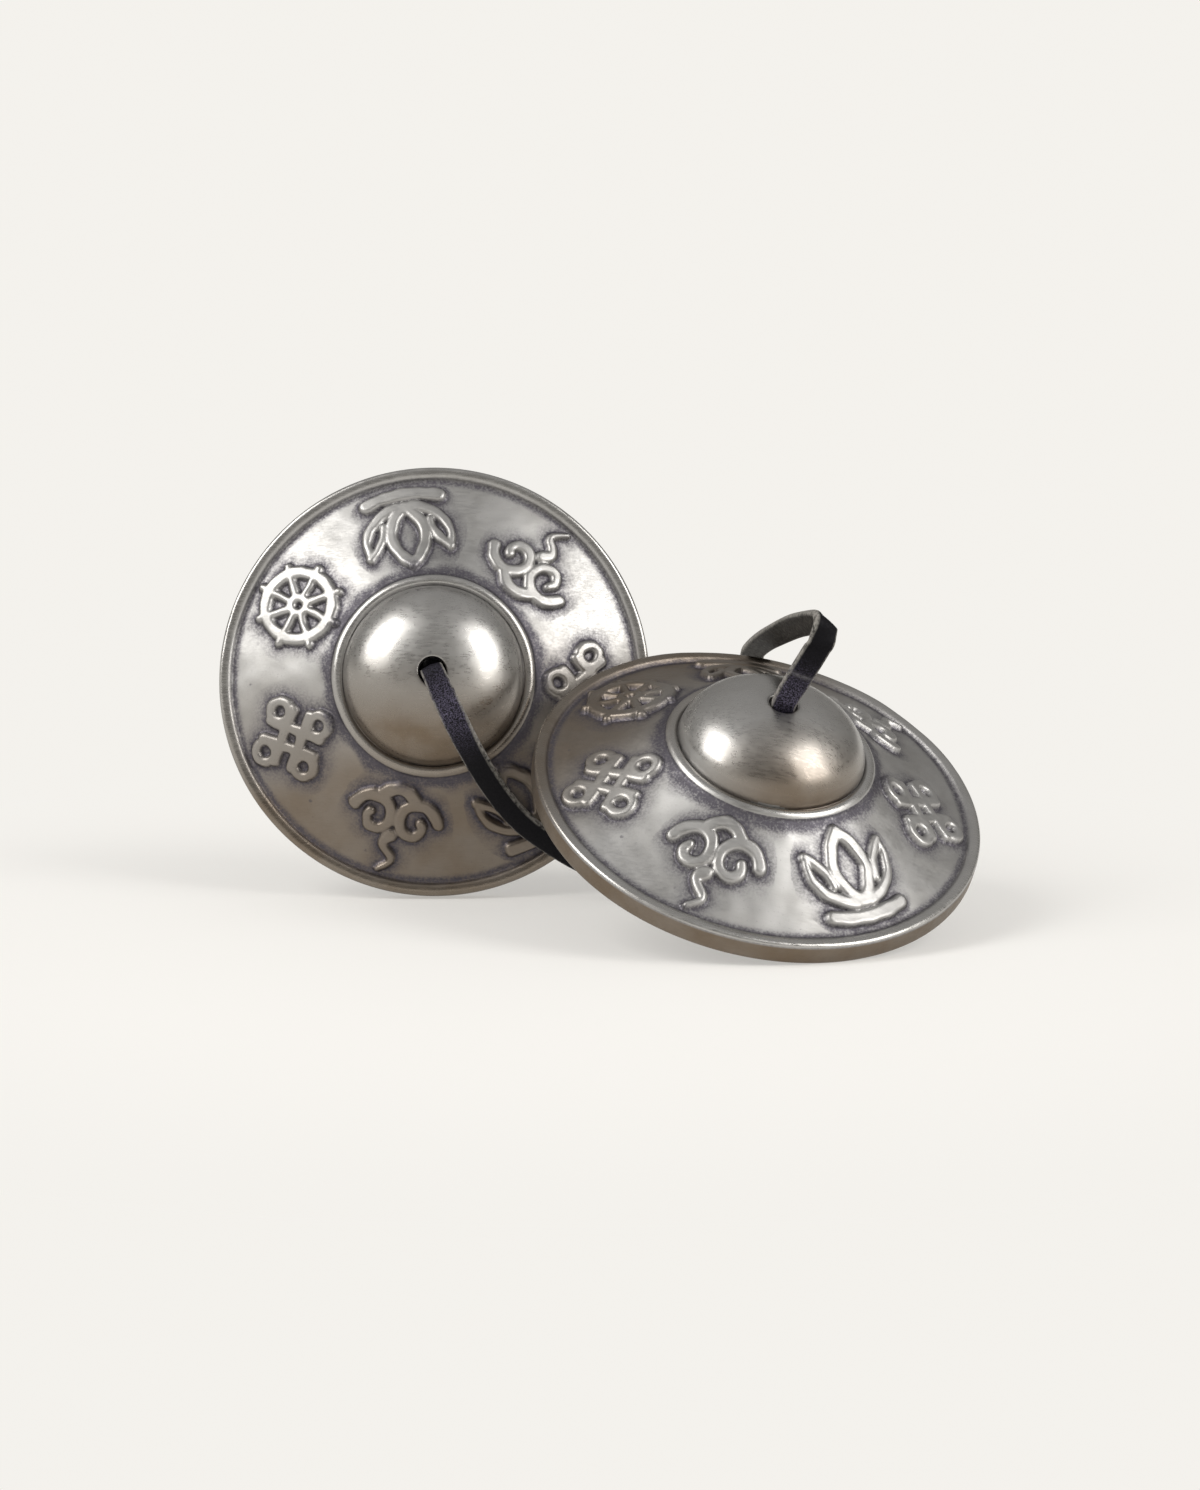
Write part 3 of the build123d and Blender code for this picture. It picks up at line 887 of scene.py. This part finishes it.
# %% Turn the section
AROUND = 640
RIM_MARGIN, FACE_MARGIN = 0.05, 0.1
BAND_MARGIN, BAND_TOP = 0.3, -0.5

angles_round = np.linspace(0, 2 * np.pi, AROUND, endpoint=False)
section_out = casting_section[:, :1]
section_up = casting_section[:, 1:]
plan_x = section_out * np.cos(angles_round)
plan_y = section_out * np.sin(angles_round)
outermost = int(np.argmax(casting_section[:, 0] > RIM_RADIUS - RIM_MARGIN))
upper_side = (np.arange(len(casting_section)) < outermost)[:, None]
face = upper_side & (section_out > RING_RADIUS + FACE_MARGIN) & (section_out < LIP_FOOT[0] - FACE_MARGIN)
rim_band = (section_out > RIM_RADIUS - BAND_MARGIN) & (section_up < BAND_TOP)
section_way = np.gradient(casting_section, axis=0)
normals = unit(np.stack([-section_way[:, 1], section_way[:, 0]], 1))
outward = normals * np.where(normals[:, 1:] * (upper_side * 2 - 1) < 0, -1, 1)
print("turned", len(casting_section), "by", AROUND, "points,", int(face.sum()), "rings on the face")

# %% Raise the ornament
WAVE_HEIGHT, WAVE_LENGTH = 0.07, 14.0
FINE_WAVE_HEIGHT, FINE_WAVE_LENGTH = 0.012, 3.5
DENT_HEIGHT, DENT_LENGTH = 0.04, 6.5
CALM_RADIUS = 12


def casting_shape(seed):
    """One casting's points, their distance from the axis, and from the nearest stroke of the ornament."""
    height, nearest = ornament(plan_x, plan_y, seed)
    waves = WAVE_HEIGHT * ripple(plan_x, plan_y, seed + 2, WAVE_LENGTH)
    waves = waves + FINE_WAVE_HEIGHT * ripple(plan_x, plan_y, seed + 3, FINE_WAVE_LENGTH)
    waves = waves * np.clip(section_out / CALM_RADIUS, 0, 1)
    dents = DENT_HEIGHT * ripple(plan_x, plan_y, seed + 6, DENT_LENGTH)
    raised = np.where(face, height + dents, 0) + np.where(upper_side, waves, 0)
    out = section_out + raised * outward[:, :1]
    up = section_up + raised * outward[:, 1:]
    points = np.stack([out * np.cos(angles_round), out * np.sin(angles_round), up], -1)
    return points, out, np.where(face, nearest, FAR_AWAY)


print("ornament raised by", RELIEF_HEIGHT, "mm")

# %% [markdown]
# ## Wear and painted light on the castings
#
# Three values are kept at every point for the finish. Patina stays where the polishing cloth doesn't
# reach: round the ornament, at the foot of the lip and of the bead ring, in the crease and at the hole.
# Polish is strongest on the dome, the bead ring and the lip, and its paler colour along the lip and bead
# crests is partly a painted highlight. A warm tarnish covers the rim band, and a painted brown reflection
# darkens one side of each casting. A mask could be painted, but these follow from the shape.

# %% Patina
BLOTCH_LENGTH = 5.0
WIDE_HALO, HALO_REACH, HALO_BLOTCH = 0.55, 1.6, 1.2
FINE_HALO, FINE_HALO_REACH = 0.35, 0.5
CROWN_SHOULDER, CROWN_CLEAN = 0.5, 0.9
RING_PATINA, RING_REACH, RING_BLOTCH = 0.9, 0.9, 1.3
RING_MARGIN, RING_OFFSET = 0.1, 0.3
UNDER_PATINA, BAND_PATINA = 0.5, 0.12
PATINA_BANDS = [
    (0.75, LIP_FOOT[0] - 0.2, 0.7),
    (0.4, DOME_RADIUS + 0.15, 0.25),
    (0.25, HOLE_RADIUS, 0.7),
]


def with_bands(values, bands):
    """The values with soft bands round the upper side, each given as its strength, place and reach."""
    for strength, place, reach in bands:
        values = np.maximum(values, np.where(upper_side, strength * hump(section_out, place, reach), 0))
    return values


def patina_marks(seed, nearest):
    blotch = 0.5 + 0.5 * ripple(plan_x, plan_y, seed + 4, BLOTCH_LENGTH)
    gap = np.clip(nearest, 0, None)
    halo = WIDE_HALO * hump(gap, 0, HALO_REACH + HALO_BLOTCH * blotch)
    halo = halo + FINE_HALO * hump(gap, 0, FINE_HALO_REACH)
    crown = rounded_step(nearest, CROWN_SHOULDER)
    patina = with_bands(np.where(face, halo * (1 - CROWN_CLEAN * crown), 0), PATINA_BANDS)
    ring_side = upper_side & (section_out > RING_RADIUS - RING_MARGIN)
    ring_reach = RING_REACH + RING_BLOTCH * blotch
    ring_foot = RING_PATINA * hump(section_out, RING_RADIUS + RING_OFFSET, ring_reach)
    patina = np.maximum(patina, np.where(ring_side, ring_foot, 0))
    patina = np.maximum(patina, np.where(upper_side, 0, UNDER_PATINA))
    return np.where(rim_band, BAND_PATINA, patina)


print("patina in", len(PATINA_BANDS) + 1, "bands and round the ornament")

# %% Polish with a painted highlight, and tarnish with a painted reflection
CROWN_POLISH, DOME_POLISH, DOME_MARGIN = 0.1, 0.8, 0.4
# The lip and bead crests are polished, and their paler colour is partly a painted highlight.
POLISH_AND_HIGHLIGHT_BANDS = [
    (1.3, RIM_RADIUS - 0.7, 0.7),
    (1.2, (DOME_RADIUS + RING_RADIUS) / 2, 0.6),
]
# The brown that grows towards one side of each dome and face is a painted reflection.
DOME_FALL, DOME_MOST = 1.3, 0.95
FACE_FALL, FACE_MOST = 1.5, 0.85
BAND_TARNISH = 0.95
REFLECTION_WOBBLE, REFLECTION_WOBBLE_LENGTH = 0.1, 25.0


# Polish on the dome, crests and ornament, and partly a painted highlight on the lip and bead crests.
def polish_and_highlight_marks(nearest):
    polish_and_highlight = np.where(face, CROWN_POLISH * rounded_step(nearest, CROWN_SHOULDER), 0)
    on_dome = upper_side & (section_out < DOME_RADIUS - DOME_MARGIN)
    return np.maximum(with_bands(polish_and_highlight, POLISH_AND_HIGHLIGHT_BANDS), np.where(on_dome, DOME_POLISH, 0))


# Tarnish on the rim band, and a painted brown reflection towards one side of each dome and face.
def tarnish_and_reflection_marks(seed, out, face_reflection_side, face_reflection_share, dome_reflection_side, dome_reflection_share):
    on_dome = out < DOME_RADIUS
    side = np.radians(np.where(on_dome, dome_reflection_side, face_reflection_side))
    fall = (plan_x * np.cos(side) + plan_y * np.sin(side)) / np.where(on_dome, DOME_RADIUS, RIM_RADIUS)
    fall = fall + REFLECTION_WOBBLE * ripple(plan_x, plan_y, seed + 5, REFLECTION_WOBBLE_LENGTH)
    dome_reflection = np.clip(fall * DOME_FALL + dome_reflection_share, 0, DOME_MOST)
    face_reflection = np.clip(fall * FACE_FALL + face_reflection_share, 0, FACE_MOST)
    return np.where(rim_band, BAND_TARNISH, np.where(on_dome, dome_reflection, face_reflection))


print("polish in", len(POLISH_AND_HIGHLIGHT_BANDS), "bands and on the dome")

# %% Cast the pair
# Each casting's sides and shares set where its painted brown reflection falls.
CASTINGS = {
    "left": {"seed": 40, "face_reflection_side": 280.0, "face_reflection_share": 0.2, "dome_reflection_side": 268.0, "dome_reflection_share": 0.3},
    "right": {"seed": 50, "face_reflection_side": 140.0, "face_reflection_share": -0.15, "dome_reflection_side": 293.0, "dome_reflection_share": -0.35},
}
CYMBAL_SPINS = {"left": 0.0, "right": -23.0}


def casting_piece(name, seed, **reflection):
    """The closed mesh of one casting."""
    points, out, nearest = casting_shape(seed)
    marks = {
        "patina": patina_marks(seed, nearest),
        "polish_and_highlight": polish_and_highlight_marks(nearest),
        "tarnish_and_reflection": tarnish_and_reflection_marks(seed, out, **reflection),
    }
    corners = np.arange(len(points) * AROUND).reshape(-1, AROUND)
    next_ring = np.roll(corners, -1, 0)
    faces = four_sided(corners, next_ring, np.roll(next_ring, -1, 1), np.roll(corners, -1, 1))
    return mesh_piece(name, points * MM, faces, marks)


def cymbal_frame(side, spin):
    """The place of one cymbal: its lip's centre, its axis, and how far it has turned about it."""
    axis = Vector(joints[f"{side}_spin"]["axis"]).normalized()
    level = Vector((-axis.y, axis.x, 0)).normalized()
    level = Quaternion(axis, radians(spin)) @ level
    place = Matrix((level, axis.cross(level), axis)).transposed().to_4x4()
    place.translation = Vector(joints[f"{side}_spin"]["pos_m"])
    return place


cymbals = {}
for side, spin in CYMBAL_SPINS.items():
    cymbal = casting_piece(f"{side}_casting", **CASTINGS[side])
    cymbal.matrix_world = cymbal_frame(side, spin)
    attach(cymbal, f"{side}_cymbal")
    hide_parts(f"{side}_cymbal")
    cymbals[side] = cymbal
    print(side, "casting", len(cymbal.data.polygons), "faces")

# %% [markdown]
# ## Bronze
#
# This bronze is rich in tin, so it is pale and only a little warm. Polished domes and rims are bright, the
# hollows keep a dark violet-grey patina, and polishing has left fine streaks and a few pits. The finish
# mixes the metal's colours by three values kept at the points: patina, polish with a painted highlight on
# the lip and bead crests, and tarnish with a painted brown reflection on one side of each casting. It
# breaks each up with noise, as no hand made surface is even.

# %% Bronze finish
METAL_DULL = (0.385, 0.376, 0.362, 1)
METAL_PALE = (0.44, 0.432, 0.42, 1)
# The polished colour also paints a highlight along the lip and bead crests.
METAL_POLISHED_HIGHLIGHT = (0.52, 0.503, 0.472, 1)
# Brown for the rim band's tarnish and for the painted reflection on one side.
TARNISH_AND_REFLECTION_BROWN = (0.158, 0.117, 0.078, 1)
PATINA_VIOLET = (0.092, 0.085, 0.102, 1)
STREAK_SCALE, STREAK_TURN = (420, 4400, 3600), radians(35)
CROSS_SCALE, CROSS_TURN = (4200, 460, 3600), radians(20)
PIT_SHARE, POLISH_HIGHLIGHT_SHARE = 0.6, 0.3
DARK_ROUGHER, POLISH_SMOOTHER = 0.15, 0.14
FINE_DEPTH, PATINA_DEPTH = 0.012 * MM, 0.02 * MM
STREAK_BUMP, MOTTLE_BUMP, PATINA_BUMP = 0.4, 0.3, -0.25


def cast_bronze():
    finish = Finish("cast_bronze")
    cloud = finish.noise(scale=130, detail=3)
    mottle = finish.noise(scale=620, detail=5, roughness=0.6)
    speck = finish.noise(scale=3000, detail=3, roughness=0.6)
    streak = finish.noise(1.0, 3, 0.6, finish.stretched(STREAK_SCALE, STREAK_TURN))
    cross = finish.noise(1.0, 3, 0.6, finish.stretched(CROSS_SCALE, CROSS_TURN))
    patina = finish.attribute("patina")
    polish_and_highlight = finish.attribute("polish_and_highlight")

    grime = finish.maths("MULTIPLY", patina, finish.span(mottle, 0.25, 0.75, 0.85, 1.1))
    speckled = finish.maths("MULTIPLY", patina, finish.span(speck, 0.3, 0.7, -0.25, 0.25))
    grime = finish.maths("ADD", grime, speckled)
    pits = finish.span(finish.cells(scale=260), 0.04, 0.10, 1.0, 0.0)
    pits = finish.maths("MULTIPLY", pits, finish.span(mottle, 0.5, 0.62))
    pits = finish.maths("MULTIPLY", pits, PIT_SHARE)
    dust = finish.maths("MAXIMUM", pits, finish.span(speck, 0.62, 0.75, 0.0, 0.3))
    dark = finish.maths("MAXIMUM", finish.span(grime, 0.05, 0.95, 0.0, 0.95), dust)

    metal = finish.mix(finish.span(cloud, 0.35, 0.65), METAL_DULL, METAL_PALE)
    # Paler polished metal, partly a painted highlight along the crests.
    metal = finish.mix(finish.maths("MULTIPLY", polish_and_highlight, POLISH_HIGHLIGHT_SHARE), metal, METAL_POLISHED_HIGHLIGHT)
    clouded = finish.span(cloud, 0.3, 0.7, 0.8, 1.0)
    # Tarnish on the rim band and a painted brown reflection on one side.
    tarnish_and_reflection = finish.maths("MULTIPLY", finish.attribute("tarnish_and_reflection"), clouded)
    metal = finish.mix(tarnish_and_reflection, metal, TARNISH_AND_REFLECTION_BROWN)
    finish.link(finish.mix(dark, metal, PATINA_VIOLET), finish.shader.inputs["Base Color"])
    finish.shader.inputs["Metallic"].default_value = 1.0

    rough = finish.span(mottle, 0.3, 0.7, 0.40, 0.46)
    rough = finish.maths("ADD", rough, finish.span(streak, 0.3, 0.7, -0.06, 0.06))
    rough = finish.maths("ADD", rough, finish.maths("MULTIPLY", dark, DARK_ROUGHER))
    rough = finish.maths("SUBTRACT", rough, finish.maths("MULTIPLY", polish_and_highlight, POLISH_SMOOTHER))
    finish.link(rough, finish.shader.inputs["Roughness"])

    streaks = finish.bump(finish.maths("ADD", streak, cross), FINE_DEPTH, STREAK_BUMP)
    grainy = finish.bump(mottle, FINE_DEPTH, MOTTLE_BUMP, streaks)
    sunk = finish.bump(dark, PATINA_DEPTH, PATINA_BUMP, grainy)
    finish.link(sunk, finish.shader.inputs["Normal"])
    return finish.material


bronze = cast_bronze()
for cymbal in cymbals.values():
    cymbal.data.materials.append(bronze)
print("bronze on", len(cymbals), "castings")

# %% [markdown]
# ## Floor
#
# The pair stands on a plain pale floor that turns up far away into a low wall, so that the horizon doesn't
# show. A lit floor alone would grow dark with distance, so it fades into an even pale glow, which only the
# camera and mirrored rays see. Close to the pair more of the lit floor shows, with the contact shadow.

# %% Floor
FLOOR_REACH = 3.0
FLOOR_WALL = 0.5
FLOOR_TURN = 0.5
FLOOR_INNER = (0.5, 1.0, 2.0)
FLOOR_SIDES = 64
TURN_STEPS = 9
FLOOR_COLOUR = (0.97, 0.955, 0.925, 1)
FLOOR_ROUGHNESS = 0.6
BACKDROP_COLOUR = (0.905, 0.885, 0.845, 1)
NEAR, FAR = 0.06, 0.15
NEAR_GLOW = 0.45


def floor_finish():
    """A pale floor that fades into an even glow away from the pair."""
    finish = Finish("pale_floor")
    finish.shader.inputs["Base Color"].default_value = FLOOR_COLOUR
    finish.shader.inputs["Roughness"].default_value = FLOOR_ROUGHNESS
    nodes, links = finish.tree.nodes, finish.tree.links
    distance = finish.add("VectorMath")
    distance.operation = "LENGTH"
    links.new(finish.place, distance.inputs[0])
    seen = finish.add("LightPath").outputs
    watched = finish.maths("ADD", seen["Is Camera Ray"], seen["Is Glossy Ray"], clamp=True)
    watched = finish.maths("ADD", watched, seen["Is Transmission Ray"], clamp=True)
    fade = finish.span(distance.outputs["Value"], NEAR, FAR, NEAR_GLOW, 1.0)
    backdrop = finish.add("Emission", color=BACKDROP_COLOUR)
    blend = finish.add("MixShader", fac=finish.maths("MULTIPLY", watched, fade))
    links.new(finish.shader.outputs["BSDF"], blend.inputs[1])
    links.new(backdrop.outputs["Emission"], blend.inputs[2])
    links.new(blend.outputs["Shader"], nodes["Material Output"].inputs["Surface"])
    return finish.material


def pale_floor():
    """A round floor, flat in the middle and turned up at its far edge."""
    turn = np.linspace(0, np.pi / 2, TURN_STEPS)
    out = np.concatenate([FLOOR_INNER, FLOOR_REACH - FLOOR_TURN + FLOOR_TURN * np.sin(turn)])[:, None]
    up = np.concatenate([np.zeros(len(FLOOR_INNER)), FLOOR_WALL * (1 - np.cos(turn))])[:, None]
    angles = np.linspace(0, 2 * np.pi, FLOOR_SIDES, endpoint=False)
    points = np.stack([out * np.cos(angles), out * np.sin(angles), up + 0 * angles], -1)
    corners = np.arange(len(points) * FLOOR_SIDES).reshape(-1, FLOOR_SIDES)
    next_corners = np.roll(corners, -1, 1)
    sides = four_sided(corners[:-1], corners[1:], next_corners[1:], next_corners[:-1])
    floor = mesh_piece("floor", points, [corners[0].tolist()] + sides, {})
    floor.data.materials.append(floor_finish())
    return floor


floor = pale_floor()
print(floor.name, FLOOR_REACH * 2, "m across")

# %% [markdown]
# ## Light
#
# Two large windows stand left and right in front, as the two bright patches on each dome say. The room
# above is dim, and a little brighter overhead than round the walls, so that the metal keeps its contrast.

# %% Light
PAIR_MIDDLE = Vector((0, 0.01, 0.03))
WINDOW_DISTANCE = 1.3
WINDOW_COLOUR = (1.0, 0.99, 0.97)
WINDOWS = {
    "left_window": {"direction": (-0.66, -0.36, 0.62), "width": 0.7, "height": 0.9, "power": 11.0},
    "right_window": {"direction": (0.74, -0.46, 0.48), "width": 0.6, "height": 1.0, "power": 10.5},
}
WALL_LIGHT = (0.22, 0.21, 0.195, 1)
CEILING_LIGHT = (0.46, 0.455, 0.45, 1)
WALL_HEIGHT, CEILING_HEIGHT = 0.1, 0.9


def window(name, direction, width, height, power):
    """A bright rectangle that faces the pair from one direction."""
    data = bpy.data.lights.new(name, "AREA")
    data.shape = "RECTANGLE"
    data.size = width
    data.size_y = height
    data.energy = power
    data.color = WINDOW_COLOUR
    lamp = bpy.data.objects.new(name, data)
    way = Vector(direction).normalized()
    lamp.location = PAIR_MIDDLE + way * WINDOW_DISTANCE
    lamp.rotation_euler = way.to_track_quat("Z", "Y").to_euler()
    bpy.context.scene.collection.objects.link(lamp)


def dim_room():
    """A room that is brighter overhead than round the walls."""
    world = bpy.data.worlds.new("room")
    world.use_nodes = True
    nodes, links = world.node_tree.nodes, world.node_tree.links
    place = nodes.new("ShaderNodeTexCoord")
    height = nodes.new("ShaderNodeSeparateXYZ")
    links.new(place.outputs["Generated"], height.inputs["Vector"])
    tone = nodes.new("ShaderNodeValToRGB")
    wall, ceiling = tone.color_ramp.elements
    wall.position = WALL_HEIGHT
    wall.color = WALL_LIGHT
    ceiling.position = CEILING_HEIGHT
    ceiling.color = CEILING_LIGHT
    links.new(height.outputs["Z"], tone.inputs["Fac"])
    links.new(tone.outputs["Color"], nodes["Background"].inputs["Color"])
    return world


for name, shape in WINDOWS.items():
    window(name, **shape)
bpy.context.scene.world = dim_room()
bpy.context.scene.view_settings.view_transform = "Standard"
print(len(WINDOWS), "windows and a dim room")
